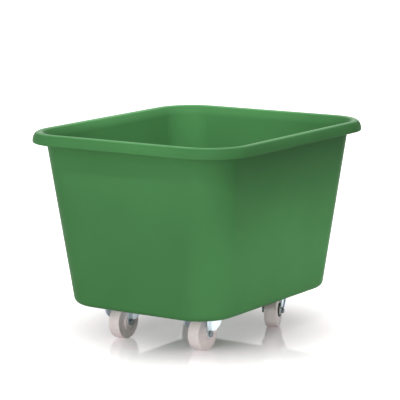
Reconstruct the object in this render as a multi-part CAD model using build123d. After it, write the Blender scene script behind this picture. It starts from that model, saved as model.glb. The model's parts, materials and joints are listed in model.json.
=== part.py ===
from build123d import *
import math
import os

# Tapered plastic container truck: one rotationally moulded tub on two fixed
# and two swivel castors. Millimetres, +Z up, ground at Z = 0, origin on the
# ground under the middle of the tub. The long side runs along X and the
# swivel castors are at the +X end. +Y is the left side.

os.makedirs("parts", exist_ok=True)

# ---- tub ----
TUB_HEIGHT = 500.6
WALL = 6.0
BASE_X = 674.8
BASE_Y = 524.5
BASE_CORNER = 109.5
BASE_FILLET = 19.0
NECK_X = 754.5
NECK_Y = 637.5
NECK_CORNER = 96.4
RIM_OUT = 40.2
RIM_HEIGHT = 31.2
RIM_CREST_OUT = 22.7
RIM_SKIRT = 4.1

# ---- castor layout ----
CASTOR_X = 197.5
CASTOR_Y = 138.0
CASTOR_HEADROOM = 28.0
TRAIL = 41.0
SWIVEL_LEFT_ANGLE = 10.0
SWIVEL_RIGHT_ANGLE = 20.5

# ---- castor pockets in the tub floor ----
POCKET_DEPTH = 16.6
POCKET_CLEARANCE = 4.5
POCKET_DRAFT = 6.0

# ---- wheel and axle ----
WHEEL_D = 100.0
TREAD_WIDTH = 36.0
TREAD_EDGE = 2.5
HUB_D = 26.0
CAP_D = 41.0
CAP_THICKNESS = 3.5
CAP_CLEARANCE = 0.2
CAP_LEG_GAP = 1.5
SLEEVE_D = 16.0
RUNNING_FIT = 0.08
AXLE_D = 10.0
AXLE_FIT = 0.15
AXLE_AF = 17.0
AXLE_HEAD = 6.4
AXLE_NUT = 6.0
AXLE_PROJECTION = 2.0
EDGE_BREAK = 1.0

# ---- pressed legs, shared by brackets and forks ----
SHEET = 3.0
HUB_SIDE_CLEARANCE = 0.5
EYE_RADIUS = 11.0

# ---- wings of the fixed brackets ----
WING_ANGLE = 34.0
WING_REACH = 31.0
WING_FOOT = 3.0
WING_STRAIGHT = 33.0

# ---- legs of the swivel forks ----
FORK_LEAN = 34.0
FORK_FLANGE = 8.0
FORK_WAIST_X = 26.0
FORK_WAIST_DROP = 11.0

# ---- mounting plates and fasteners ----
PLATE_X = 105.0
PLATE_Y = 85.0
BRACKET_Y = 92.0
PLATE_CORNER = 8.0
HOLE_X = 80.0
HOLE_Y = 60.0
BOLT_D = 8.0
BOLT_CLEARANCE = 0.3
BOLT_HEAD_D = 14.0
BOLT_HEAD_H = 4.4
WASHER_D = 24.0
WASHER_T = 2.0
NUT_AF = 13.0
NUT_H = 6.5
BOLT_PROJECTION = 1.5

# ---- swivel head ----
CROWN_RADIUS = 38.0
CROWN_NECK_X = 32.0
CROWN_GAP = 3.0
PIN_D = 12.0
PIN_HEAD_D = 20.0
PIN_HEAD_H = 4.0
CROWN_BORE = 16.0
UPPER_BALL_D = 6.0
UPPER_BALL_PITCH = 24.0
UPPER_BALLS = 20
LOWER_BALL_D = 5.0
LOWER_BALL_PITCH = 14.5
LOWER_BALLS = 14
RACE_D = 37.0
RACE_T = 2.6
BALL_FIT = 0.3
BALL_SEAT = 0.05

WHEEL_R = WHEEL_D / 2
CASTOR_HEIGHT = WHEEL_D + CASTOR_HEADROOM
TUB_UNDERSIDE = CASTOR_HEIGHT - POCKET_DEPTH
LEG_IN = TREAD_WIDTH / 2 + CAP_THICKNESS + CAP_LEG_GAP
LEG_OUT = LEG_IN + SHEET
HUB_LENGTH = 2 * (LEG_IN - HUB_SIDE_CLEARANCE)
BOLT_HOLE = BOLT_D + 2 * BOLT_CLEARANCE
PLATE_Z = CASTOR_HEIGHT - SHEET
CROWN_TOP = PLATE_Z - CROWN_GAP
CROWN_Z = CROWN_TOP - SHEET
RIM_BOTTOM = TUB_UNDERSIDE + TUB_HEIGHT - RIM_HEIGHT
POCKET_X = PLATE_X + 2 * POCKET_CLEARANCE
POCKET_Y = BRACKET_Y + 2 * POCKET_CLEARANCE
POCKET_CORNER = PLATE_CORNER + POCKET_CLEARANCE
CORNERS = [(sx * HOLE_X / 2, sy * HOLE_Y / 2) for sx in (-1, 1) for sy in (-1, 1)]


def save(shape, name):
    """Write one node, a single solid or a flat group of them."""
    solids = shape.solids()
    node = solids[0] if len(solids) == 1 else Compound(solids)
    node.label = name
    export_step(node, "parts/" + name + ".step")


def block(lx, ly, z0, z1, corner=0.0, x=0.0, y=0.0):
    """Upright rounded block between two heights."""
    outline = RectangleRounded(lx, ly, corner) if corner else Rectangle(lx, ly)
    return extrude(Pos(x, y, z0) * outline, z1 - z0)


def rod(radius, z0, z1, x=0.0, y=0.0):
    """Upright round bar between two heights."""
    return extrude(Pos(x, y, z0) * Circle(radius), z1 - z0)


def cross_rod(radius, y0, y1, x, z):
    """Round bar along Y between two distances."""
    return Pos(x, (y0 + y1) / 2, z) * Rot(90, 0, 0) * Cylinder(radius, abs(y1 - y0))


def hexagon(across_flats, z0, z1, x=0.0, y=0.0):
    """Upright hexagonal bar between two heights."""
    outline = RegularPolygon(across_flats / math.sqrt(3), 6)
    return extrude(Pos(x, y, z0) * outline, z1 - z0)


def side_plate(points, y0, y1):
    """Flat plate drawn in X and Z, thick along Y."""
    outline = make_face(Polyline(*points, close=True))
    return extrude(Plane.XZ.offset(-y1) * outline, y1 - y0)


def ring_groove(pitch, radius, z):
    """Ring of round section round the Z axis."""
    return Pos(0, 0, z) * Torus(pitch, radius)


# ---- tub ----
def tub_outline(z, inset):
    """Plan outline of the tapered wall at a height, moved inwards."""
    share = (z - TUB_UNDERSIDE) / (RIM_BOTTOM - TUB_UNDERSIDE)
    lx = BASE_X + (NECK_X - BASE_X) * share - 2 * inset
    ly = BASE_Y + (NECK_Y - BASE_Y) * share - 2 * inset
    corner = BASE_CORNER + (NECK_CORNER - BASE_CORNER) * share - inset
    return Pos(0, 0, z) * RectangleRounded(lx, ly, corner)


def tapered(z0, z1, inset, fillet_radius):
    """Tapered body with a rounded bottom edge."""
    body = loft([tub_outline(z0, inset), tub_outline(z1, inset)], ruled=True)
    foot = body.edges().group_by(Axis.Z)[0]
    return fillet(foot, fillet_radius)


def rim_section():
    """Section of the turned-over rim, drawn outward from the wall's outer face."""
    rise = RIM_HEIGHT
    out_in = RIM_CREST_OUT + WALL
    over = RIM_OUT - RIM_CREST_OUT
    skirt = RIM_SKIRT
    lines = [
        EllipticalCenterArc((RIM_CREST_OUT, 0), out_in, rise, 90, arc_size=90),
        Line((-WALL, 0), (0, 0)),
        EllipticalCenterArc((RIM_CREST_OUT, 0), out_in - WALL, rise - WALL, 90, arc_size=90),
        EllipticalCenterArc((RIM_CREST_OUT, skirt), over - WALL, rise - WALL - skirt, 0, arc_size=90),
        Line((RIM_OUT - WALL, skirt), (RIM_OUT - WALL, 0)),
        Line((RIM_OUT - WALL, 0), (RIM_OUT, 0)),
        Line((RIM_OUT, 0), (RIM_OUT, skirt)),
        EllipticalCenterArc((RIM_CREST_OUT, skirt), over, rise - skirt, 0, arc_size=90),
    ]
    return make_face(lines)


def build_tub():
    """Tub with turned-over rim, flat floor and four raised castor pockets."""
    outside = tapered(TUB_UNDERSIDE, RIM_BOTTOM, 0.0, BASE_FILLET)
    inside = tapered(TUB_UNDERSIDE + WALL, RIM_BOTTOM, WALL, BASE_FILLET - WALL)
    body = outside - inside
    path = (Pos(0, 0, RIM_BOTTOM) * RectangleRounded(NECK_X, NECK_Y, NECK_CORNER)).wire()
    start = path @ 0
    along = path % 0
    outward = Vector(along.Y, -along.X, 0)
    if outward.dot(Vector(start.X, start.Y, 0)) < 0:
        outward = outward * -1
    plane = Plane(origin=start, x_dir=outward, z_dir=outward.cross(Vector(0, 0, 1)))
    rim = sweep(plane * rim_section(), path=path)
    body = body + rim
    for x in (-CASTOR_X, CASTOR_X):
        for y in (-CASTOR_Y, CASTOR_Y):
            seat = Pos(x, y, TUB_UNDERSIDE)
            shell = RectangleRounded(POCKET_X + 2 * WALL, POCKET_Y + 2 * WALL, POCKET_CORNER + WALL)
            hollow = RectangleRounded(POCKET_X, POCKET_Y, POCKET_CORNER)
            body = body + seat * extrude(shell, POCKET_DEPTH + WALL, taper=POCKET_DRAFT)
            body = body - seat * extrude(hollow, POCKET_DEPTH, taper=POCKET_DRAFT)
            for cx, cy in CORNERS:
                z0 = CASTOR_HEIGHT - 1
                body = body - rod(BOLT_HOLE / 2, z0, z0 + WALL + 2, x + cx, y + cy)
    return body


# ---- wheel set, built with the axle at x ----
def build_wheel(x):
    """Solid wheel with rounded tread edges and hub ends."""
    disc = Cylinder(WHEEL_R, TREAD_WIDTH)
    disc = fillet(disc.edges(), TREAD_EDGE)
    hub = Cylinder(HUB_D / 2, HUB_LENGTH)
    bore = Cylinder(SLEEVE_D / 2 + RUNNING_FIT, HUB_LENGTH)
    return Pos(x, 0, WHEEL_R) * Rot(90, 0, 0) * (disc + hub - bore)


def build_caps(x):
    """Pair of bearing cap rings on the wheel faces."""
    caps = []
    for side in (-1, 1):
        face = side * TREAD_WIDTH / 2
        cap = cross_rod(CAP_D / 2, face, face + side * CAP_THICKNESS, x, WHEEL_R)
        cap = chamfer(cap.faces().sort_by(Axis.Y)[-1 if side > 0 else 0].edges(), EDGE_BREAK)
        caps.append(cap - cross_rod(HUB_D / 2 + CAP_CLEARANCE, -WHEEL_R, WHEEL_R, x, WHEEL_R))
    return Compound(caps)


def build_sleeve(x):
    """Steel bearing sleeve clamped between the legs."""
    tube = cross_rod(SLEEVE_D / 2, -LEG_IN, LEG_IN, x, WHEEL_R)
    return tube - cross_rod(AXLE_D / 2 + AXLE_FIT, -LEG_IN, LEG_IN, x, WHEEL_R)


def build_axle_bolt(x):
    """Axle bolt with its hexagon head on the +Y leg."""
    end = -LEG_OUT - AXLE_NUT - AXLE_PROJECTION
    shank = cross_rod(AXLE_D / 2, end, LEG_OUT, x, WHEEL_R)
    shank = chamfer(shank.faces().sort_by(Axis.Y)[0].edges(), EDGE_BREAK)
    head = Pos(x, LEG_OUT + AXLE_HEAD, WHEEL_R) * Rot(90, 0, 0) * hexagon(AXLE_AF, 0, AXLE_HEAD)
    return shank + head


def build_axle_nut(x):
    """Thin lock nut on the -Y leg."""
    nut = Pos(x, -LEG_OUT, WHEEL_R) * Rot(90, 0, 0) * hexagon(AXLE_AF, 0, AXLE_NUT)
    return nut - cross_rod(AXLE_D / 2 + AXLE_FIT, -LEG_OUT - AXLE_NUT, -LEG_OUT, x, WHEEL_R)


# ---- fixed bracket, axle under the middle of the plate ----
def build_plate(width):
    """Mounting plate with four holes."""
    plate = block(PLATE_X, width, PLATE_Z, CASTOR_HEIGHT, PLATE_CORNER)
    for cx, cy in CORNERS:
        plate = plate - rod(BOLT_HOLE / 2, PLATE_Z, CASTOR_HEIGHT, cx, cy)
    return plate


def build_wing():
    """Flap that widens upwards from the axle to the plate, drawn in X and Z."""
    top = PLATE_Z - WING_STRAIGHT
    foot = WHEEL_R + WING_FOOT
    lines = [
        TangentArc((WING_REACH, top), (0, foot), tangent=(0, -1)),
        Line((0, foot), (0, PLATE_Z)),
        Line((0, PLATE_Z), (WING_REACH, PLATE_Z)),
        Line((WING_REACH, PLATE_Z), (WING_REACH, top)),
    ]
    return extrude(Plane.XZ.offset(-SHEET / 2) * make_face(lines), SHEET)


def build_bracket():
    """Fixed castor bracket: plate and two legs with wings that widen upwards."""
    body = build_plate(BRACKET_Y)
    wing = build_wing()
    for side in (-1, 1):
        y0, y1 = sorted((side * LEG_IN, side * LEG_OUT))
        web = block(2 * EYE_RADIUS, SHEET, WHEEL_R, PLATE_Z, y=(y0 + y1) / 2)
        eye = cross_rod(EYE_RADIUS, y0, y1, 0, WHEEL_R)
        body = body + web + eye
        for end, heading in ((1, 0), (-1, 180)):
            spot = Pos(end * (EYE_RADIUS - SHEET / 2), (y0 + y1) / 2, 0)
            body = body + spot * Rot(0, 0, heading + side * end * WING_ANGLE) * wing
        body = body - cross_rod(AXLE_D / 2 + AXLE_FIT, y0, y1, 0, WHEEL_R)
    return body


# ---- swivel castor, swivel axis on Z, wheel trailing to -X ----
def build_top_plate():
    """Swivel castor mounting plate with its ball track."""
    plate = build_plate(PLATE_Y)
    plate = plate - rod(PIN_D / 2, PLATE_Z, CASTOR_HEIGHT)
    centre = CROWN_TOP + CROWN_GAP / 2
    return plate - ring_groove(UPPER_BALL_PITCH, UPPER_BALL_D / 2 + BALL_FIT, centre)


def build_king_pin():
    """King pin riveted in the plate, with its head under the lower race."""
    race_foot = lower_race_foot()
    shank = rod(PIN_D / 2, race_foot - PIN_HEAD_H, CASTOR_HEIGHT)
    head = rod(PIN_HEAD_D / 2, race_foot - PIN_HEAD_H, race_foot)
    head = chamfer(head.faces().sort_by(Axis.Z)[0].edges(), EDGE_BREAK)
    return shank + head


def lower_race_foot():
    """Height of the underside of the lower race."""
    return CROWN_Z - CROWN_GAP / 2 - RACE_T


def build_lower_race():
    """Lower ball race seated on the king pin's head."""
    foot = lower_race_foot()
    race = rod(RACE_D / 2, foot, foot + RACE_T) - rod(PIN_D / 2, foot, foot + RACE_T)
    centre = foot + RACE_T + CROWN_GAP / 4
    return race - ring_groove(LOWER_BALL_PITCH, LOWER_BALL_D / 2 + BALL_FIT, centre)


def build_balls(count, pitch, diameter, z):
    """Ring of separate balls."""
    balls = []
    for i in range(count):
        a = 2 * math.pi * i / count
        balls.append(Pos(pitch * math.cos(a), pitch * math.sin(a), z) * Sphere(diameter / 2))
    return Compound(balls)


def build_fork():
    """Swivel fork: crown with ball tracks and two legs that lean to the axle."""
    crown = rod(CROWN_RADIUS, CROWN_Z, CROWN_TOP)
    crown = crown + block(2 * CROWN_NECK_X, 2 * LEG_OUT, CROWN_Z, CROWN_TOP)
    crown = crown - rod(CROWN_BORE / 2, CROWN_Z, CROWN_TOP)
    upper = CROWN_TOP + CROWN_GAP / 2
    lower = lower_race_foot() + RACE_T + CROWN_GAP / 4
    crown = crown - ring_groove(UPPER_BALL_PITCH, UPPER_BALL_D / 2 + BALL_SEAT, upper)
    crown = crown - ring_groove(LOWER_BALL_PITCH, LOWER_BALL_D / 2 + BALL_SEAT, lower)
    lean = math.radians(FORK_LEAN)
    foot = (-TRAIL + EYE_RADIUS * math.sin(lean), WHEEL_R - EYE_RADIUS * math.cos(lean))
    reach = CROWN_NECK_X + 1 - foot[0]
    knee = (CROWN_NECK_X + 1, foot[1] + reach * math.tan(lean))
    points = [
        (-TRAIL - EYE_RADIUS, WHEEL_R),
        (-TRAIL, WHEEL_R),
        foot,
        knee,
        (CROWN_NECK_X, knee[1] + FORK_FLANGE),
        (CROWN_NECK_X, CROWN_Z + SHEET / 2),
        (-CROWN_NECK_X, CROWN_Z + SHEET / 2),
        (-FORK_WAIST_X, CROWN_Z - FORK_WAIST_DROP),
    ]
    body = crown
    length = reach / math.cos(lean)
    flange = [(EYE_RADIUS, 0), (length, FORK_FLANGE), (length, -SHEET), (EYE_RADIUS, -SHEET)]
    for side in (-1, 1):
        y0, y1 = sorted((side * LEG_IN, side * LEG_OUT))
        leg = side_plate(points, y0, y1) + cross_rod(EYE_RADIUS, y0, y1, -TRAIL, WHEEL_R)
        plane = Plane(
            origin=(foot[0], side * LEG_OUT, foot[1]),
            x_dir=(math.cos(lean), 0, math.sin(lean)),
            z_dir=(math.sin(lean) * side, 0, -math.cos(lean) * side),
        )
        strip = extrude(plane * make_face(Polyline(*flange, close=True)), -SHEET * side)
        body = body + leg + strip
        body = body - cross_rod(AXLE_D / 2 + AXLE_FIT, y0, y1, -TRAIL, WHEEL_R)
    return body


# ---- fasteners, shared by both kinds ----
def build_bolts():
    """Four low-head bolts, heads inside the tub."""
    seat = CASTOR_HEIGHT + WALL + WASHER_T
    end = PLATE_Z - NUT_H - BOLT_PROJECTION
    bolts = []
    for cx, cy in CORNERS:
        head = rod(BOLT_HEAD_D / 2, seat, seat + BOLT_HEAD_H, cx, cy)
        head = fillet(head.faces().sort_by(Axis.Z)[-1].edges(), BOLT_HEAD_H * 0.7)
        bolts.append(head + rod(BOLT_D / 2, end, seat, cx, cy))
    return Compound(bolts)


def build_washers():
    """Four wide washers on the tub floor."""
    seat = CASTOR_HEIGHT + WALL
    washers = []
    for cx, cy in CORNERS:
        disc = rod(WASHER_D / 2, seat, seat + WASHER_T, cx, cy)
        washers.append(disc - rod(BOLT_HOLE / 2, seat, seat + WASHER_T, cx, cy))
    return Compound(washers)


def build_nuts():
    """Four hexagon nuts under the plate."""
    nuts = []
    for cx, cy in CORNERS:
        nut = hexagon(NUT_AF, PLATE_Z - NUT_H, PLATE_Z, cx, cy)
        nuts.append(nut - rod(BOLT_D / 2 + AXLE_FIT, PLATE_Z - NUT_H, PLATE_Z, cx, cy))
    return Compound(nuts)


def fastener_set():
    """Parts that hold one castor to the tub."""
    return {
        "mounting_bolts": build_bolts(),
        "mounting_washers": build_washers(),
        "mounting_nuts": build_nuts(),
    }


def wheel_set(x):
    """Parts that turn on or hold one axle."""
    return {
        "wheel": build_wheel(x),
        "bearing_caps": build_caps(x),
        "axle_sleeve": build_sleeve(x),
        "axle_bolt": build_axle_bolt(x),
        "axle_nut": build_axle_nut(x),
    }


def main():
    """Build every node."""
    save(build_tub(), "tub")
    fixed = {"bracket": build_bracket()}
    fixed.update(wheel_set(0.0))
    upper_z = CROWN_TOP + CROWN_GAP / 2
    lower_z = lower_race_foot() + RACE_T + CROWN_GAP / 4
    head = {
        "top_plate": build_top_plate(),
        "king_pin": build_king_pin(),
        "lower_race": build_lower_race(),
    }
    turning = {
        "fork": build_fork(),
        "upper_balls": build_balls(UPPER_BALLS, UPPER_BALL_PITCH, UPPER_BALL_D, upper_z),
        "lower_balls": build_balls(LOWER_BALLS, LOWER_BALL_PITCH, LOWER_BALL_D, lower_z),
    }
    turning.update(wheel_set(-TRAIL))
    sides = (("left", 1, SWIVEL_LEFT_ANGLE), ("right", -1, SWIVEL_RIGHT_ANGLE))
    for name, side, angle in sides:
        back = Pos(-CASTOR_X, side * CASTOR_Y, 0)
        front = Pos(CASTOR_X, side * CASTOR_Y, 0)
        for key, shape in {**fixed, **fastener_set()}.items():
            save(back * shape, "fixed_" + name + "_" + key)
        for key, shape in {**head, **fastener_set()}.items():
            save(front * shape, "swivel_" + name + "_" + key)
        for key, shape in turning.items():
            save(front * Rot(0, 0, angle) * shape, "swivel_" + name + "_" + key)


main()
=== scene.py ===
import json
import math

import bmesh
import bpy
from bpy.props import FloatProperty, FloatVectorProperty, IntProperty, PointerProperty
from mathutils import Matrix, Vector

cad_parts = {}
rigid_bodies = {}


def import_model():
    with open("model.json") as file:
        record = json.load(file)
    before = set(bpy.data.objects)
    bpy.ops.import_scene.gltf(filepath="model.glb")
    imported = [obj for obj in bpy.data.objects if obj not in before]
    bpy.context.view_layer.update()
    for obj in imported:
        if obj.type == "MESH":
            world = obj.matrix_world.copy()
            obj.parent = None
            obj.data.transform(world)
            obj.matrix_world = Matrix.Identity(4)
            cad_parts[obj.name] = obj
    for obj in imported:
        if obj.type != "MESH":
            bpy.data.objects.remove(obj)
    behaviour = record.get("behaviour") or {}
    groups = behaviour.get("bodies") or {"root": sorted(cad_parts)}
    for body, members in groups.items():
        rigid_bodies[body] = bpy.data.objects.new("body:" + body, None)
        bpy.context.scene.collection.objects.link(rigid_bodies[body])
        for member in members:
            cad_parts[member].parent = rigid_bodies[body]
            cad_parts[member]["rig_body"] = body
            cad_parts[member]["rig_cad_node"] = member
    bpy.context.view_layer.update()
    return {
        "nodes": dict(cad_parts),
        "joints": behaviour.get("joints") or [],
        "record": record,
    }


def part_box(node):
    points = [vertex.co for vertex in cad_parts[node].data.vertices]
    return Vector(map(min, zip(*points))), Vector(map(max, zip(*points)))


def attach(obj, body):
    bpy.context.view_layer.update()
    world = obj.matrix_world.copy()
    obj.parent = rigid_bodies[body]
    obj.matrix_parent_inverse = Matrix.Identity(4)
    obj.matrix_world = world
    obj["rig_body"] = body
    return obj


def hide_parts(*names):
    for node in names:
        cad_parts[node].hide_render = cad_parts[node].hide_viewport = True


bl_info = {
    "name": "Container Truck",
    "version": (1, 0, 0),
    "blender": (4, 5, 0),
    "location": "View3D > Sidebar > Truck",
    "description": "Models a moulded container truck on castors around its CAD frame",
    "category": "Object",
}

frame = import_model()
TUB_LOW, TUB_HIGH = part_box("tub")
JOINTS = {joint["name"]: joint for joint in frame["joints"]}

TUB_BODY = "tub_frame"
CASTORS = ("fixed_left", "fixed_right", "swivel_left", "swivel_right")
CORNER_SIGNS = [(sx, sy) for sx in (-1, 1) for sy in (-1, 1)]
SAME_PLACE = 1e-5
RING_GAP = 2e-4
WALL_HEIGHTS = (0.25, 0.40)
SEAT_STEPS = 5
FLOOR_SIZE = 40
FLOOR_HEIGHT = -0.0003


# ------------------------------------------------------------------- settings


def length_setting(name, default, text):
    """A length in metres."""
    return FloatProperty(name=name, description=text, default=default, unit="LENGTH")


def angle_setting(name, default, text):
    """An angle in radians."""
    return FloatProperty(name=name, description=text, default=default, subtype="ANGLE")


def share_setting(name, default, text):
    """A strength that is never negative."""
    return FloatProperty(name=name, description=text, default=default, min=0)


def power_setting(name, default, text):
    """The power of a lamp in watts."""
    return FloatProperty(name=name, description=text, default=default, subtype="POWER")


def count_setting(name, default, least, text):
    """A whole number with a lower limit."""
    return IntProperty(name=name, description=text, default=default, min=least)


def place_setting(name, default, text):
    """A point in metres."""
    return FloatVectorProperty(
        name=name, description=text, size=len(default), default=default, unit="LENGTH"
    )


def colour_setting(name, default, text):
    """A colour in linear values."""
    return FloatVectorProperty(
        name=name, description=text, subtype="COLOR", size=3, default=default, min=0, max=1
    )


class TubSizes(bpy.types.PropertyGroup):
    """Sizes of the moulded tub."""

    base_x: length_setting("Base Length", 0.6748, "Length of the tub at its foot")
    base_y: length_setting("Base Width", 0.5245, "Width of the tub at its foot")
    base_corner: length_setting("Base Corner", 0.1095, "Plan radius of the corners at the foot")
    foot_radius: length_setting("Foot Radius", 0.019, "Rounding between the underside and the walls")
    neck_x: length_setting("Neck Length", 0.7545, "Length of the tub under the rim")
    neck_y: length_setting("Neck Width", 0.6375, "Width of the tub under the rim")
    neck_corner: length_setting("Neck Corner", 0.0964, "Plan radius of the corners under the rim")
    wall: length_setting("Wall", 0.006, "Thickness of the moulding")
    rim_out: length_setting("Rim Reach", 0.0402, "How far the rim stands out from the wall")
    rim_height: length_setting("Rim Height", 0.0312, "Height of the turned-over rim")
    crest_out: length_setting("Crest Reach", 0.0227, "Distance of the rim's crest from the wall")
    skirt: length_setting("Rim Skirt", 0.0041, "Straight part at the rim's lower edge")
    corner_steps: count_setting("Corner Steps", 24, 4, "Faces round each corner")


class SeatSizes(bpy.types.PropertyGroup):
    """Sizes of the castor seats moulded in the tub's floor."""

    length: length_setting("Seat Length", 0.114, "Length of the hollow that holds a castor plate")
    width: length_setting("Seat Width", 0.101, "Width of the hollow that holds a castor plate")
    corner: length_setting("Seat Corner", 0.0125, "Plan radius of the hollow")
    depth: length_setting("Seat Depth", 0.0166, "How far the seat lies above the underside")
    draft: angle_setting("Seat Draft", math.radians(6), "Lean of the seat's sides")
    castor_x: length_setting("Castor Spacing X", 0.1975, "Half the distance between castors along the truck")
    castor_y: length_setting("Castor Spacing Y", 0.138, "Half the distance between castors across the truck")
    hole_x: length_setting("Hole Spacing X", 0.080, "Distance between bolt holes along the truck")
    hole_y: length_setting("Hole Spacing Y", 0.060, "Distance between bolt holes across the truck")
    hole_radius: length_setting("Hole Radius", 0.0043, "Radius of a bolt hole")
    boss_round: length_setting("Boss Rounding", 0.004, "Rounding on top of the raised seat inside")
    boss_flare: length_setting("Boss Flare", 0.005, "Fillet where the raised seat meets the floor")
    hollow_round: length_setting("Hollow Rounding", 0.0025, "Rounding at the top of the hollow")
    hollow_flare: length_setting("Hollow Flare", 0.0025, "Rounding at the mouth of the hollow")
    overlap: length_setting("Overlap", 0.003, "How deep the boss starts in the floor")
    cut_margin: length_setting("Cut Margin", 0.004, "How far the hollow's cutter starts below the foot")


class WheelSizes(bpy.types.PropertyGroup):
    """Sizes of one wheel and its bearing caps."""

    radius: length_setting("Wheel Radius", 0.050, "Radius over the tread")
    half_tread: length_setting("Half Tread", 0.018, "Half the width of the tread")
    edge: length_setting("Tread Edge", 0.0028, "Rounding of the tread's edges")
    crown: length_setting("Crown", 0.0004, "Height of the tread's crown")
    dish: length_setting("Dish", 0.0012, "Depth of the hollow in the side faces")
    hub_radius: length_setting("Hub Radius", 0.013, "Radius of the hub ends")
    half_hub: length_setting("Half Hub", 0.0225, "Half the length of the hub")
    bore: length_setting("Bore", 0.00808, "Radius of the bore on the axle sleeve")
    cap_radius: length_setting("Cap Radius", 0.0205, "Outer radius of a bearing cap")
    cap_height: length_setting("Cap Height", 0.0035, "How far a bearing cap stands on the face")
    steps: count_setting("Turning Steps", 96, 24, "Faces round the wheel")


class FinishColours(bpy.types.PropertyGroup):
    """Colours of the materials."""

    tub: colour_setting("Tub", (0.0618, 0.203, 0.0672), "Green of the moulded tub")
    nylon: colour_setting("Nylon", (0.83, 0.755, 0.74), "Colour of the wheels")
    cap: colour_setting("Dark Caps", (0.035, 0.042, 0.038), "Colour of the swivel castors' bearing caps")
    zinc: colour_setting("Zinc Plate", (0.62, 0.72, 0.78), "Colour of the plated sheet")
    fastener: colour_setting("Fasteners", (0.26, 0.29, 0.30), "Colour of the plated bolts and nuts")
    steel: colour_setting("Bearing Steel", (0.55, 0.55, 0.56), "Colour of balls and sleeves")


class StageSettings(bpy.types.PropertyGroup):
    """Camera, floor and lamps."""

    lens: FloatProperty(name="Lens", description="Focal length on a 36 mm sensor", default=183.19)
    camera_place: place_setting("Camera Place", (-4.8674, -3.2710, 1.3927), "Where the camera stands")
    heading: angle_setting("Heading", 0.9790, "Turn of the view from the +Y direction towards +X")
    pitch: angle_setting("Pitch", 0.16934, "How far the view looks down")
    roll: angle_setting("Roll", -0.0056, "Turn of the camera about its own axis")
    floor_colour: colour_setting("Floor", (0.92, 0.825, 0.850), "Colour of the floor")
    floor_centre: place_setting("Floor Centre", (0.05, 0.01), "Middle of the floor's shaded part")
    floor_lift: share_setting("Floor Lift", 0.08, "Light added to the floor beside the truck")
    fade_start: length_setting("Fade Start", 0.15, "Distance at which the floor starts to turn white")
    fade_end: length_setting("Fade End", 0.70, "Distance at which the floor is plain white")
    ambient: share_setting("Ambient", 0.30, "Strength of the light from all around")
    front: power_setting("Front Power", 70, "Power of the low lamp before the fixed end")
    upper: power_setting("Upper Power", 28, "Power of the lamp high before the fixed end")
    side: power_setting("Side Power", 22, "Power of the lamp high over the right side")
    inner: power_setting("Inner Power", 315, "Power of the spot that shines into the mouth")
    low: power_setting("Low Power", 0.78, "Power of the low strip beside the right side")


# ------------------------------------------------------------ modelling tools


def deselect_all():
    """Leave nothing selected and no piece open."""
    if bpy.context.object and bpy.context.object.mode != "OBJECT":
        bpy.ops.object.mode_set(mode="OBJECT")
    bpy.ops.object.select_all(action="DESELECT")


def name_piece(name):
    """Name the active piece and its mesh."""
    piece = bpy.context.object
    piece.name = name
    piece.data.name = name
    return piece


def make_active(piece):
    """Select one piece alone."""
    deselect_all()
    piece.select_set(True)
    bpy.context.view_layer.objects.active = piece


def select_where(piece, wanted):
    """Select the vertices of the open piece that pass a test on their place."""
    bpy.ops.mesh.select_mode(type="VERT")
    bpy.ops.mesh.select_all(action="DESELECT")
    mesh = bmesh.from_edit_mesh(piece.data)
    for vertex in mesh.verts:
        vertex.select = wanted(vertex.co)
    mesh.select_flush(True)
    bmesh.update_edit_mesh(piece.data)


def apply_modifier(piece, kind, **settings):
    """Add a modifier to a piece, set it and apply it."""
    make_active(piece)
    bpy.ops.object.modifier_add(type=kind)
    modifier = piece.modifiers[-1]
    for key, value in settings.items():
        setattr(modifier, key, value)
    bpy.ops.object.modifier_apply(modifier=modifier.name)


def smooth(piece, angle=35.0):
    """Shade a piece smooth between its sharp edges, large faces flat."""
    make_active(piece)
    bpy.ops.object.shade_smooth_by_angle(angle=math.radians(angle))
    apply_modifier(piece, "WEIGHTED_NORMAL", keep_sharp=True, weight=80)


def settle(piece):
    """Put a piece's place and turn into its mesh."""
    make_active(piece)
    bpy.ops.object.transform_apply(location=True, rotation=True, scale=True)


def finish_piece(piece, body, material, nodes):
    """Give a piece its material, its body and the CAD nodes it stands for."""
    piece.data.materials.clear()
    piece.data.materials.append(material)
    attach(piece, body)
    if nodes:
        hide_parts(*nodes)


# ---- lofts of rounded rectangles


def on_ring(place, ring):
    """True for a point on the outline of a rounded rectangle."""
    size_x, size_y, corner, height = ring[:4]
    if abs(place.z - height) > SAME_PLACE:
        return False
    across = abs(place.x) - (size_x / 2 - corner)
    along = abs(place.y) - (size_y / 2 - corner)
    if across > 0 and along > 0:
        return abs(math.hypot(across, along) - corner) < SAME_PLACE * 5
    return abs(max(across, along) - corner) < SAME_PLACE * 5


def add_ring(ring, steps):
    """Add the outline of a rounded rectangle to the open piece."""
    size_x, size_y, corner, height = ring[:4]
    bpy.ops.mesh.select_all(action="DESELECT")
    bpy.ops.mesh.primitive_plane_add(size=1, location=(0, 0, height))
    bpy.ops.transform.resize(value=(size_x, size_y, 1), center_override=(0, 0, height))
    bpy.ops.mesh.bevel(affect="VERTICES", offset=corner, offset_type="OFFSET", segments=steps, profile=0.5)
    bpy.ops.mesh.delete(type="ONLY_FACE")


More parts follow.
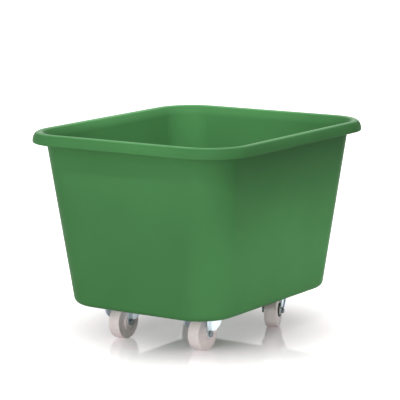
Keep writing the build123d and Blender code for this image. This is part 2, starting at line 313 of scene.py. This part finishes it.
def loft(name, rings, steps):
    """Closed solid through a row of rounded rectangles round the Z axis."""
    deselect_all()
    bpy.ops.mesh.primitive_plane_add(size=1)
    piece = name_piece(name)
    bpy.ops.object.mode_set(mode="EDIT")
    bpy.ops.mesh.delete(type="VERT")
    add_ring(rings[0], steps)
    for low, high in zip(rings, rings[1:]):
        add_ring(high, steps)
        select_where(piece, lambda place: on_ring(place, low) or on_ring(place, high))
        bpy.ops.mesh.bridge_edge_loops()
    for end in (rings[0], rings[-1]):
        select_where(piece, lambda place: on_ring(place, end))
        bpy.ops.mesh.edge_face_add()
    bpy.ops.mesh.select_all(action="SELECT")
    bpy.ops.mesh.normals_make_consistent(inside=False)
    bpy.ops.object.mode_set(mode="OBJECT")
    return piece


# ---- turned pieces


def turn(name, profile, steps):
    """Closed solid of revolution about Z through a closed profile of (radius, height)."""
    deselect_all()
    radius, height = profile[0]
    bpy.ops.mesh.primitive_circle_add(vertices=steps, radius=radius, location=(0, 0, height))
    piece = name_piece(name)
    settle(piece)
    bpy.ops.object.mode_set(mode="EDIT")
    bpy.ops.mesh.select_all(action="SELECT")
    for (radius, height), (next_radius, next_height) in zip(profile, profile[1:] + profile[:1]):
        bpy.ops.mesh.extrude_edges_move(TRANSFORM_OT_translate={"value": (0, 0, next_height - height)})
        grow = next_radius / radius
        bpy.ops.transform.resize(value=(grow, grow, 1), center_override=(0, 0, next_height))
    bpy.ops.mesh.select_all(action="SELECT")
    bpy.ops.mesh.remove_doubles(threshold=SAME_PLACE / 10)
    bpy.ops.mesh.normals_make_consistent(inside=False)
    bpy.ops.object.mode_set(mode="OBJECT")
    return piece


def arc(centre, reach, start, end, steps, first=0):
    """Points of an elliptical arc, angles in degrees, reach as (across, up)."""
    points = []
    for i in range(first, steps + 1):
        a = math.radians(start + (end - start) * i / steps)
        points.append((centre[0] + reach[0] * math.cos(a), centre[1] + reach[1] * math.sin(a)))
    return points


def place_on_axle(piece, joint):
    """Turn a piece made round Z onto a wheel joint's axle."""
    axis = Vector(joint["axis"]).normalized()
    turned = Vector((0, 0, 1)).rotation_difference(axis).to_matrix().to_4x4()
    piece.matrix_world = Matrix.Translation(joint["pos_m"]) @ turned
    settle(piece)


def copy_piece(piece, name):
    """A copy with its own mesh, at the same place."""
    make_active(piece)
    bpy.ops.object.duplicate(linked=False)
    return name_piece(name)


# ---- pieces made from CAD solids


def rounded_copy(node, width, segments=2, angle=30.0):
    """Copy of a CAD node with clean faces and rounded edges."""
    make_active(frame["nodes"][node])
    bpy.ops.object.duplicate(linked=False)
    piece = name_piece(node + "_finished")
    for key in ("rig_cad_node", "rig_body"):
        if key in piece:
            del piece[key]
    piece.parent = None
    bpy.ops.object.mode_set(mode="EDIT")
    bpy.ops.mesh.select_all(action="SELECT")
    bpy.ops.mesh.remove_doubles(threshold=SAME_PLACE / 10)
    bpy.ops.mesh.dissolve_limited(angle_limit=math.radians(1.0))
    bpy.ops.object.mode_set(mode="OBJECT")
    apply_modifier(
        piece,
        "BEVEL",
        width=width,
        segments=segments,
        limit_method="ANGLE",
        angle_limit=math.radians(angle),
        use_clamp_overlap=True,
    )
    smooth(piece, 40.0)
    return piece


# ------------------------------------------------------------------ materials


def add_node(tree, kind, place, **values):
    """Add a shader node and set its named inputs or settings."""
    node = tree.nodes.new(kind)
    node.location = place
    for key, value in values.items():
        if key in node.inputs:
            node.inputs[key].default_value = value
        else:
            setattr(node, key, value)
    return node


def new_material(name, colour, roughness, metallic=0.0):
    """Material with a shader ready for its patterns."""
    material = bpy.data.materials.new(name)
    material.use_nodes = True
    tree = material.node_tree
    shader = tree.nodes["Principled BSDF"]
    shader.inputs["Metallic"].default_value = metallic
    shader.inputs["Roughness"].default_value = roughness
    shader.inputs["Base Color"].default_value = (*colour, 1)
    material.diffuse_color = (*colour, 1)
    place = add_node(tree, "ShaderNodeTexCoord", (-1200, 0))
    return material, tree, shader, place.outputs["Object"]


def noise(tree, coordinates, scale, detail=3.0, roughness=0.5, place=(-900, 0)):
    """Noise pattern in object space."""
    node = add_node(tree, "ShaderNodeTexNoise", place, Scale=scale, Detail=detail, Roughness=roughness)
    tree.links.new(coordinates, node.inputs["Vector"])
    return node.outputs["Fac"]


def spread(tree, value, low, high, place=(-600, 0)):
    """Map a pattern of 0.3 to 0.7 onto a range."""
    node = add_node(tree, "ShaderNodeMapRange", place)
    node.inputs["From Min"].default_value = 0.3
    node.inputs["From Max"].default_value = 0.7
    node.inputs["To Min"].default_value = low
    node.inputs["To Max"].default_value = high
    tree.links.new(value, node.inputs["Value"])
    return node.outputs["Result"]


def mix_colours(tree, factor, first, second, place=(-400, 200)):
    """Blend between two colours by a pattern."""
    node = tree.nodes.new("ShaderNodeMix")
    node.data_type = "RGBA"
    node.location = place
    inputs = [s for s in node.inputs if s.type == "RGBA"]
    for socket, value in zip(inputs, (first, second)):
        if isinstance(value, bpy.types.NodeSocket):
            tree.links.new(value, socket)
        else:
            socket.default_value = (*value, 1)
    tree.links.new(factor, node.inputs["Factor"])
    return [s for s in node.outputs if s.type == "RGBA"][0]


def bump(tree, shader, heights, place=(-300, -400)):
    """Chain of bumps, each a (pattern, strength, distance)."""
    normal = None
    for i, (height, strength, distance) in enumerate(heights):
        spot = (place[0] + 200 * i, place[1])
        node = add_node(tree, "ShaderNodeBump", spot, Strength=strength, Distance=distance)
        tree.links.new(height, node.inputs["Height"])
        if normal:
            tree.links.new(normal, node.inputs["Normal"])
        normal = node.outputs["Normal"]
    tree.links.new(normal, shader.inputs["Normal"])


def scaled(colour, share):
    """A lighter or darker shade of a colour."""
    return tuple(min(1.0, c * share) for c in colour)


CREST_DEPTH = 0.0045
CREST_TOP = 0.0005
# Painted highlight: how much lighter the base colour is painted along the rim's crest.
CREST_PAINTED_HIGHLIGHT = 1.85
CREST_ROUGHNESS = 0.30
CREST_SHEEN = 0.10
WALL_SHEEN = 0.015


def moulded_green(colour):
    """Rotationally moulded polyethylene: matt and slightly uneven; along the rim's crest the colour is
    lightened as a painted highlight, and the surface there is smoother and shinier.
    """
    material, tree, shader, place = new_material("moulded_green_polyethylene", colour, 0.38)
    broad = noise(tree, place, 5.0, detail=2.0)
    fine = noise(tree, place, 260.0, detail=2.0, place=(-900, -300))
    # Height band at the top of the rim's crest; it carries the painted highlight and a smoother, shinier
    # finish.
    height = add_node(tree, "ShaderNodeSeparateXYZ", (-900, -1200))
    tree.links.new(place, height.inputs["Vector"])
    crest = add_node(tree, "ShaderNodeMapRange", (-600, -1200), interpolation_type="SMOOTHSTEP")
    crest.inputs["From Min"].default_value = TUB_HIGH.z - CREST_DEPTH
    crest.inputs["From Max"].default_value = TUB_HIGH.z - CREST_TOP
    tree.links.new(height.outputs["Z"], crest.inputs["Value"])
    shade = mix_colours(tree, spread(tree, broad, 0.0, 1.0), scaled(colour, 0.95), scaled(colour, 1.05))
    speckle = spread(tree, fine, 0.0, 0.25, (-600, -200))
    shade = mix_colours(tree, speckle, shade, scaled(colour, 1.12), (-200, 200))
    # Painted highlight: the crest band's base colour is lightened to stand in for the bright line of light
    # on the rim's crest.
    painted_highlight = scaled(colour, CREST_PAINTED_HIGHLIGHT)
    shade = mix_colours(tree, crest.outputs["Result"], shade, painted_highlight, (0, 200))
    tree.links.new(shade, shader.inputs["Base Color"])
    shine = add_node(tree, "ShaderNodeMapRange", (-400, -1200))
    shine.inputs["To Min"].default_value = WALL_SHEEN
    shine.inputs["To Max"].default_value = CREST_SHEEN
    tree.links.new(crest.outputs["Result"], shine.inputs["Value"])
    tree.links.new(shine.outputs["Result"], shader.inputs["Specular IOR Level"])
    cloud = noise(tree, place, 14.0, detail=4.0, place=(-900, -600))
    rough = add_node(tree, "ShaderNodeMix", (-200, -500))
    tree.links.new(crest.outputs["Result"], rough.inputs["Factor"])
    tree.links.new(spread(tree, cloud, 0.33, 0.44, (-600, -500)), rough.inputs["A"])
    rough.inputs["B"].default_value = CREST_ROUGHNESS
    tree.links.new(rough.outputs["Result"], shader.inputs["Roughness"])
    waves = noise(tree, place, 9.0, detail=1.0, place=(-900, -900))
    bump(tree, shader, [(waves, 0.10, 0.004), (fine, 0.06, 0.0006)])
    return material


def nylon(colour, name="natural_nylon", rough=0.42):
    """Cast nylon, off white with a faint cloud."""
    material, tree, shader, place = new_material(name, colour, rough)
    cloud = noise(tree, place, 40.0, detail=3.0)
    shade = mix_colours(tree, spread(tree, cloud, 0.0, 1.0), scaled(colour, 0.93), scaled(colour, 1.05))
    tree.links.new(shade, shader.inputs["Base Color"])
    wear = noise(tree, place, 180.0, place=(-900, -300))
    sheen = spread(tree, wear, rough - 0.06, rough + 0.1, (-600, -300))
    tree.links.new(sheen, shader.inputs["Roughness"])
    scuffs = noise(tree, place, 500.0, detail=2.0, place=(-900, -600))
    bump(tree, shader, [(scuffs, 0.12, 0.0003)])
    return material


def dark_plastic(colour):
    """Dark moulded plastic of the bearing caps."""
    material, tree, shader, place = new_material("dark_cap_plastic", colour, 0.45)
    cloud = noise(tree, place, 120.0)
    shade = mix_colours(tree, spread(tree, cloud, 0.0, 1.0), scaled(colour, 0.85), scaled(colour, 1.2))
    tree.links.new(shade, shader.inputs["Base Color"])
    tree.links.new(spread(tree, cloud, 0.4, 0.55, (-600, -300)), shader.inputs["Roughness"])
    bump(tree, shader, [(noise(tree, place, 900.0, place=(-900, -600)), 0.15, 0.0002)])
    return material


def plated(name, colour, rough, flow):
    """Bright zinc plate on pressed steel, with a soft cloudy sheen."""
    material, tree, shader, place = new_material(name, colour, rough, metallic=1.0)
    cloud = noise(tree, place, flow, detail=4.0, roughness=0.6)
    shade = mix_colours(tree, spread(tree, cloud, 0.0, 1.0), scaled(colour, 0.88), scaled(colour, 1.08))
    tree.links.new(shade, shader.inputs["Base Color"])
    tree.links.new(spread(tree, cloud, rough - 0.06, rough + 0.10, (-600, -300)), shader.inputs["Roughness"])
    bump(tree, shader, [(noise(tree, place, 700.0, place=(-900, -600)), 0.08, 0.0002)])
    return material


def white_for_camera(tree, place):
    """Share of a ray that sees the plain backdrop: camera, glossy or transmission."""
    path = add_node(tree, "ShaderNodeLightPath", (place[0] - 600, place[1] + 300))
    first = add_node(tree, "ShaderNodeMath", (place[0] - 400, place[1] + 300), operation="MAXIMUM")
    second = add_node(tree, "ShaderNodeMath", (place[0] - 200, place[1] + 300), operation="MAXIMUM")
    tree.links.new(path.outputs["Is Camera Ray"], first.inputs[0])
    tree.links.new(path.outputs["Is Glossy Ray"], first.inputs[1])
    tree.links.new(first.outputs[0], second.inputs[0])
    tree.links.new(path.outputs["Is Transmission Ray"], second.inputs[1])
    return second.outputs[0]


def floor_material(stage):
    """Pale floor with a faint sheen; a painted glow, seen only by camera, glossy and transmission rays, is
    faint beside the truck and turns the floor plain white away from it.
    """
    material, tree, shader, place = new_material("studio_floor", stage.floor_colour, 0.045)
    shader.inputs["Specular IOR Level"].default_value = 0.5
    centre = add_node(tree, "ShaderNodeMapping", (-1000, 500))
    centre.inputs["Location"].default_value = (-stage.floor_centre[0], -stage.floor_centre[1], 0)
    tree.links.new(place, centre.inputs["Vector"])
    distance = add_node(tree, "ShaderNodeVectorMath", (-800, 500), operation="LENGTH")
    tree.links.new(centre.outputs["Vector"], distance.inputs[0])
    # Painted glow: weak round the floor centre, so the floor beside the truck is left darker, painted shade
    # on top of its real shadow, and full white beyond the fade end.
    fade = add_node(tree, "ShaderNodeMapRange", (-600, 500), interpolation_type="SMOOTHSTEP")
    fade.inputs["From Min"].default_value = stage.fade_start
    fade.inputs["From Max"].default_value = stage.fade_end
    fade.inputs["To Min"].default_value = stage.floor_lift
    fade.inputs["To Max"].default_value = 1.0
    tree.links.new(distance.outputs["Value"], fade.inputs["Value"])
    factor = add_node(tree, "ShaderNodeMath", (100, 300), operation="MULTIPLY")
    tree.links.new(white_for_camera(tree, (0, 0)), factor.inputs[0])
    tree.links.new(fade.outputs["Result"], factor.inputs[1])
    shader.inputs["Emission Color"].default_value = (1, 1, 1, 1)
    tree.links.new(factor.outputs[0], shader.inputs["Emission Strength"])
    return material


def build_materials(finish):
    """All materials of the truck, by record slot."""
    return {
        "tub_plastic": moulded_green(finish.tub),
        "wheel_nylon": nylon(finish.nylon),
        "fixed_cap_plastic": nylon(scaled(finish.nylon, 0.92), "nylon_cap", 0.45),
        "swivel_cap_plastic": dark_plastic(finish.cap),
        "zinc_plated_sheet": plated("zinc_plated_sheet", finish.zinc, 0.30, 60.0),
        "zinc_plated_fasteners": plated("zinc_plated_fasteners", finish.fastener, 0.36, 150.0),
        "bearing_steel": plated("bearing_steel", finish.steel, 0.22, 200.0),
    }


MATERIALS = {}
SLOTS = {row["node"]: row["material_slot"] for row in frame["record"]["subparts"]}
BODIES = {node: body for body, nodes in frame["record"]["behaviour"]["bodies"].items() for node in nodes}


# ------------------------------------------------------------------ operators


class TRUCK_OT_materials(bpy.types.Operator):
    """Make the materials and paint the CAD nodes with them"""

    bl_idname = "truck.materials"
    bl_label = "Materials"

    def execute(self, context):
        MATERIALS.update(build_materials(context.scene.truck_finish))
        for name, node in frame["nodes"].items():
            node.data.materials.clear()
            node.data.materials.append(MATERIALS[SLOTS[name]])
        return {"FINISHED"}


def tub_ring(sizes, height, inset, foot=0.0):
    """Outline of the tapered wall at a height, moved inwards by the inset."""
    rim_bottom = TUB_HIGH.z - sizes.rim_height
    share = (height - TUB_LOW.z) / (rim_bottom - TUB_LOW.z)
    size_x = sizes.base_x + (sizes.neck_x - sizes.base_x) * share
    size_y = sizes.base_y + (sizes.neck_y - sizes.base_y) * share
    corner = sizes.base_corner + (sizes.neck_corner - sizes.base_corner) * share
    inward = inset + foot
    return (size_x - 2 * inward, size_y - 2 * inward, corner - inward, height)


def foot_rings(sizes, inset, radius, steps=7):
    """Rings of the rounded edge between the floor and the walls."""
    wall_height = TUB_HIGH.z - sizes.rim_height - TUB_LOW.z
    lean = math.atan((sizes.neck_y + sizes.neck_x - sizes.base_y - sizes.base_x) / 4 / wall_height)
    reach = radius * math.tan((math.pi / 2 - lean) / 2)
    floor = TUB_LOW.z + inset
    rings = []
    for i in range(steps + 1):
        turn_angle = -math.pi / 2 + (math.pi / 2 - lean) * i / steps
        height = floor + radius + radius * math.sin(turn_angle)
        drift = (height - floor) * math.tan(lean)
        rings.append(tub_ring(sizes, height, inset, reach - radius * math.cos(turn_angle) + drift))
    return rings


def rim_rings(sizes):
    """Rings of the turned-over rim, from the wall's outer face to its inner face."""
    size_x, size_y, corner = sizes.neck_x, sizes.neck_y, sizes.neck_corner
    low = TUB_HIGH.z - sizes.rim_height
    wall, crest, skirt = sizes.wall, sizes.crest_out, sizes.skirt
    over = sizes.rim_out - crest
    edge = wall / 2
    height = sizes.rim_height
    points = arc((crest, 0), (crest, height - wall), 180, 90, 8, first=1)
    points += arc((crest, skirt), (over - wall, height - wall - skirt), 90, 0, 8, first=1)
    points += arc((sizes.rim_out - wall + edge, edge), (edge, edge), 180, 270, 4)
    points += arc((sizes.rim_out - edge, edge), (edge, edge), -90, 0, 4)
    points += arc((crest, skirt), (over, height - skirt), 0, 90, 12)
    points += arc((crest, 0), (crest + wall, height), 90, 180, 12, first=1)
    rings = []
    for out, up in points:
        ring = (size_x + 2 * out, size_y + 2 * out, corner + out, low + up)
        if rings and max(abs(a - b) for a, b in zip(ring, rings[-1])) < RING_GAP:
            continue
        rings.append(ring)
    return rings


def seat_block(name, seats, grow, low, high, rounding, flare, flare_height):
    """Drafted block of a castor seat, rounded at its top and flared at its foot."""
    rings = []
    lean = math.tan(seats.draft)

    def ring(height, extra):
        out = grow + extra - (height - TUB_LOW.z) * lean
        return (seats.length + 2 * out, seats.width + 2 * out, seats.corner + grow + extra, height)

    rings.append(ring(low, flare))
    angles = [math.pi / 2 * i / SEAT_STEPS for i in range(SEAT_STEPS + 1)]
    for a in angles:
        rings.append(ring(flare_height + flare * (1 - math.cos(a)), flare * (1 - math.sin(a))))
    for a in angles:
        rings.append(ring(high - rounding + rounding * math.sin(a), -rounding * (1 - math.cos(a))))
    return loft(name, rings, 8)


class TRUCK_OT_tub(bpy.types.Operator):
    """Model the moulded tub in one closed skin, with its rim and castor seats"""

    bl_idname = "truck.tub"
    bl_label = "Moulded Tub"

    def execute(self, context):
        sizes, seats = context.scene.truck_tub, context.scene.truck_seats
        outer_foot = foot_rings(sizes, 0.0, sizes.foot_radius)
        inner_foot = foot_rings(sizes, sizes.wall, sizes.foot_radius - sizes.wall)
        rim_bottom = TUB_HIGH.z - sizes.rim_height
        step = 0.004
        outer_heights = (outer_foot[-1][3] + step, *WALL_HEIGHTS, rim_bottom - sizes.wall, rim_bottom)
        inner_heights = (rim_bottom - step, *WALL_HEIGHTS[::-1], inner_foot[-1][3] + step)
        outer_wall = [tub_ring(sizes, height, 0.0) for height in outer_heights]
        inner_wall = [tub_ring(sizes, height, sizes.wall) for height in inner_heights]
        rings = outer_foot + outer_wall + rim_rings(sizes) + inner_wall + inner_foot[::-1]
        tub = loft("moulded_tub", rings, sizes.corner_steps)
        floor = TUB_LOW.z + sizes.wall
        seat_top = TUB_LOW.z + seats.depth
        boss = seat_block(
            "seat_boss",
            seats,
            sizes.wall,
            floor - seats.overlap,
            seat_top + sizes.wall,
            seats.boss_round,
            seats.boss_flare,
            floor,
        )
        hollow = seat_block(
            "seat_hollow",
            seats,
            0.0,
            TUB_LOW.z - seats.cut_margin,
            seat_top,
            seats.hollow_round,
            seats.hollow_flare,
            TUB_LOW.z,
        )
        for piece, operation in ((boss, "UNION"), (hollow, "DIFFERENCE")):
            for sx, sy in CORNER_SIGNS:
                tool = copy_piece(piece, "seat_tool")
                tool.location = (sx * seats.castor_x, sy * seats.castor_y, 0)
                settle(tool)
                apply_modifier(tub, "BOOLEAN", operation=operation, solver="EXACT", object=tool)
                bpy.data.objects.remove(tool)
            bpy.data.objects.remove(piece)
        for sx, sy in CORNER_SIGNS:
            for hx, hy in CORNER_SIGNS:
                deselect_all()
                place_x = sx * seats.castor_x + hx * seats.hole_x / 2
                place_y = sy * seats.castor_y + hy * seats.hole_y / 2
                bpy.ops.mesh.primitive_cylinder_add(
                    vertices=24,
                    radius=seats.hole_radius,
                    depth=4 * sizes.wall,
                    location=(place_x, place_y, seat_top),
                )
                tool = name_piece("hole_tool")
                apply_modifier(tub, "BOOLEAN", operation="DIFFERENCE", solver="EXACT", object=tool)
                bpy.data.objects.remove(tool)
        smooth(tub, 32.0)
        finish_piece(tub, TUB_BODY, MATERIALS["tub_plastic"], ["tub"])
        return {"FINISHED"}


class TRUCK_OT_wheels(bpy.types.Operator):
    """Turn one wheel and put a copy on each axle"""

    bl_idname = "truck.wheels"
    bl_label = "Wheels"

    def execute(self, context):
        sizes = context.scene.truck_wheel
        edge, half, radius, dish = sizes.edge, sizes.half_tread, sizes.radius, sizes.dish
        hub, end, bore = sizes.hub_radius, sizes.half_hub, sizes.bore
        ease, lip, cap = 0.0010, 0.0003, sizes.cap_radius
        side = [(bore, end - 0.0008), (bore + 0.0008, end)]
        side += [(hub - ease, end), (hub - lip, end - lip), (hub, end - ease), (hub, half)]
        side += [(cap + 0.001, half), (cap + 0.003, half - lip), (cap + 0.005, half - dish)]
        flank = radius - edge
        side += [(flank - 0.006, half - dish), (flank - 0.003, half - lip), (flank - 0.001, half)]
        shoulder = arc((radius - sizes.crown - edge, half - edge), (edge, edge), 90, 8, 7)
        crown = [(radius, half / 3)]
        upper = side + shoulder + crown
        profile = upper + [(r, -h) for r, h in reversed(upper)]
        master = turn("wheel_master", profile, sizes.steps)
        smooth(master, 30.0)
        for castor in CASTORS:
            wheel = copy_piece(master, castor + "_wheel_turned")
            place_on_axle(wheel, JOINTS[castor + "_wheel_spin"])
            body, slot = castor + "_wheel_body", SLOTS[castor + "_wheel"]
            finish_piece(wheel, body, MATERIALS[slot], [castor + "_wheel"])
        bpy.data.objects.remove(master)
        return {"FINISHED"}


class TRUCK_OT_caps(bpy.types.Operator):
    """Turn the bearing caps and put a pair on each wheel"""

    bl_idname = "truck.caps"
    bl_label = "Bearing Caps"

    def execute(self, context):
        sizes = context.scene.truck_wheel
        low, high = sizes.half_tread, sizes.half_tread + sizes.cap_height
        inner, outer = sizes.hub_radius + 0.0002, sizes.cap_radius
        edge, hollow = 0.0012, high - 0.0006
        profile = [(inner, low), (outer - 0.0003, low), (outer, low + 0.0004), (outer, high - 0.0014)]
        profile += arc((outer - edge, high - edge), (edge, edge), 0, 90, 4)
        profile += [(outer - 0.0026, high), (outer - 0.0030, hollow), (inner + 0.0020, hollow)]
        profile += [(inner + 0.0015, high), (inner + 0.0004, high), (inner, high - 0.0004)]
        for castor in CASTORS:
            joint = JOINTS[castor + "_wheel_spin"]
            for side, mark in ((1, "outer"), (-1, "inner")):
                cap = turn(castor + "_cap_" + mark, [(r, h * side) for r, h in profile], 64)
                smooth(cap, 35.0)
                place_on_axle(cap, joint)
                node = castor + "_bearing_caps"
                finish_piece(cap, castor + "_wheel_body", MATERIALS[SLOTS[node]], [node])
        return {"FINISHED"}


PRESSED = {"bracket": 0.0007, "fork": 0.0007, "top_plate": 0.0006, "lower_race": 0.0003}
FASTENERS = {
    "axle_bolt": 0.0005,
    "axle_nut": 0.0005,
    "mounting_bolts": 0.0003,
    "mounting_washers": 0.0003,
    "mounting_nuts": 0.0005,
    "king_pin": 0.0004,
}


def finish_nodes(widths):
    """Round the edges of the CAD nodes of some kinds, each kind by its own width."""
    for node in sorted(frame["nodes"]):
        kind = node.split("_", 2)[-1]
        if kind in widths:
            piece = rounded_copy(node, widths[kind])
            finish_piece(piece, BODIES[node], MATERIALS[SLOTS[node]], [node])


class TRUCK_OT_pressings(bpy.types.Operator):
    """Round the edges of the pressed steel brackets, forks and plates"""

    bl_idname = "truck.pressings"
    bl_label = "Pressed Steel"

    def execute(self, context):
        finish_nodes(PRESSED)
        return {"FINISHED"}


class TRUCK_OT_fasteners(bpy.types.Operator):
    """Round the edges of the bolts, nuts, washers and king pins"""

    bl_idname = "truck.fasteners"
    bl_label = "Fasteners"

    def execute(self, context):
        finish_nodes(FASTENERS)
        return {"FINISHED"}


def add_lamp(kind, name, place, target, power):
    """Lamp aimed at a point."""
    deselect_all()
    bpy.ops.object.light_add(type=kind, location=place)
    lamp = bpy.context.object
    lamp.name = name
    lamp.data.energy = power
    lamp.rotation_euler = (Vector(target) - Vector(place)).to_track_quat("-Z", "Y").to_euler()
    return lamp


def add_panel(name, place, target, size, power):
    """Rectangular area lamp."""
    lamp = add_lamp("AREA", name, place, target, power)
    lamp.data.shape = "RECTANGLE"
    lamp.data.size, lamp.data.size_y = size
    return lamp


def add_spot(name, place, target, cone, radius, power):
    """Soft-edged spot."""
    lamp = add_lamp("SPOT", name, place, target, power)
    lamp.data.spot_size = cone
    lamp.data.spot_blend = 1.0
    lamp.data.shadow_soft_size = radius


class TRUCK_OT_stage(bpy.types.Operator):
    """Set the floor, the lamps, the world and the camera"""

    bl_idname = "truck.stage"
    bl_label = "Stage"

    def execute(self, context):
        stage = context.scene.truck_stage
        deselect_all()
        bpy.ops.mesh.primitive_plane_add(size=FLOOR_SIZE, location=(0, 0, FLOOR_HEIGHT))
        floor = name_piece("studio_floor")
        floor.data.materials.append(floor_material(stage))
        middle = (0, 0, 0.3)
        add_panel("front_lamp", (-4.2, -0.6, 0.9), middle, (2.0, 1.2), stage.front)
        add_panel("upper_lamp", (-4.2, 0.9, 2.9), middle, (3.0, 3.0), stage.upper)
        add_panel("side_lamp", (0.2, -1.7, 3.6), middle, (2.0, 2.0), stage.side)
        add_spot("inner_lamp", (-1.5, -1.0, 2.6), (0.3, 0.25, 0.40), 0.42, 0.20, stage.inner)
        wall = (0.16, -0.3, 0.245)
        strip = add_panel("low_lamp", (0.16, -3.7, 0.55), wall, (1.2, 0.15), stage.low)
        strip.data.spread = 0.21
        self.light_world(context, stage)
        self.set_camera(context, stage)
        context.scene.view_settings.view_transform = "Standard"
        return {"FINISHED"}

    def light_world(self, context, stage):
        """Even light all around, seen as plain white."""
        world = bpy.data.worlds.new("studio_world")
        context.scene.world = world
        world.use_nodes = True
        tree = world.node_tree
        ambient = tree.nodes["Background"]
        ambient.inputs["Color"].default_value = (1, 1, 1, 1)
        ambient.inputs["Strength"].default_value = stage.ambient
        white = add_node(tree, "ShaderNodeBackground", (0, -200), Strength=1.0)
        white.inputs["Color"].default_value = (1, 1, 1, 1)
        mix = add_node(tree, "ShaderNodeMixShader", (200, 0))
        tree.links.new(white_for_camera(tree, (0, 0)), mix.inputs["Fac"])
        tree.links.new(ambient.outputs[0], mix.inputs[1])
        tree.links.new(white.outputs[0], mix.inputs[2])
        tree.links.new(mix.outputs[0], tree.nodes["World Output"].inputs["Surface"])

    def set_camera(self, context, stage):
        """Camera at the fitted place, without shift or blur."""
        heading, pitch, roll = stage.heading, stage.pitch, stage.roll
        level = math.cos(pitch)
        forward = Vector((math.sin(heading) * level, math.cos(heading) * level, -math.sin(pitch)))
        right = Vector((math.cos(heading), -math.sin(heading), 0))
        up = right.cross(forward)
        turned_right = math.cos(roll) * right + math.sin(roll) * up
        turned_up = math.cos(roll) * up - math.sin(roll) * right
        deselect_all()
        bpy.ops.object.camera_add(location=stage.camera_place)
        camera = bpy.context.object
        camera.name = "studio_camera"
        camera.rotation_euler = Matrix((turned_right, turned_up, -forward)).transposed().to_euler()
        camera.data.lens = stage.lens
        camera.data.sensor_width = 36
        context.scene.camera = camera


class TRUCK_PT_panel(bpy.types.Panel):
    """The truck's pieces in the sidebar"""

    bl_label = "Container Truck"
    bl_idname = "TRUCK_PT_panel"
    bl_space_type = "VIEW_3D"
    bl_region_type = "UI"
    bl_category = "Truck"

    def draw(self, context):
        for operator in OPERATORS:
            self.layout.operator(operator.bl_idname)
        for name in GROUPS:
            group = getattr(context.scene, name)
            column = self.layout.column()
            for key in group.bl_rna.properties.keys():
                if key not in ("rna_type", "name"):
                    column.prop(group, key)


OPERATORS = (
    TRUCK_OT_materials,
    TRUCK_OT_tub,
    TRUCK_OT_wheels,
    TRUCK_OT_caps,
    TRUCK_OT_pressings,
    TRUCK_OT_fasteners,
    TRUCK_OT_stage,
)
GROUPS = {
    "truck_tub": TubSizes,
    "truck_seats": SeatSizes,
    "truck_wheel": WheelSizes,
    "truck_finish": FinishColours,
    "truck_stage": StageSettings,
}


def register():
    """Register the classes and hang the settings on the scene."""
    for group in GROUPS.values():
        bpy.utils.register_class(group)
    for operator in OPERATORS:
        bpy.utils.register_class(operator)
    bpy.utils.register_class(TRUCK_PT_panel)
    for name, group in GROUPS.items():
        setattr(bpy.types.Scene, name, PointerProperty(type=group))


def unregister():
    """Remove the classes and the settings."""
    for name in GROUPS:
        delattr(bpy.types.Scene, name)
    bpy.utils.unregister_class(TRUCK_PT_panel)
    for operator in reversed(OPERATORS):
        bpy.utils.unregister_class(operator)
    for group in reversed(list(GROUPS.values())):
        bpy.utils.unregister_class(group)


def main():
    """Build the truck."""
    register()
    for operator in OPERATORS:
        group, call = operator.bl_idname.split(".")
        getattr(getattr(bpy.ops, group), call)()
    deselect_all()


if __name__ == "__main__":
    main()
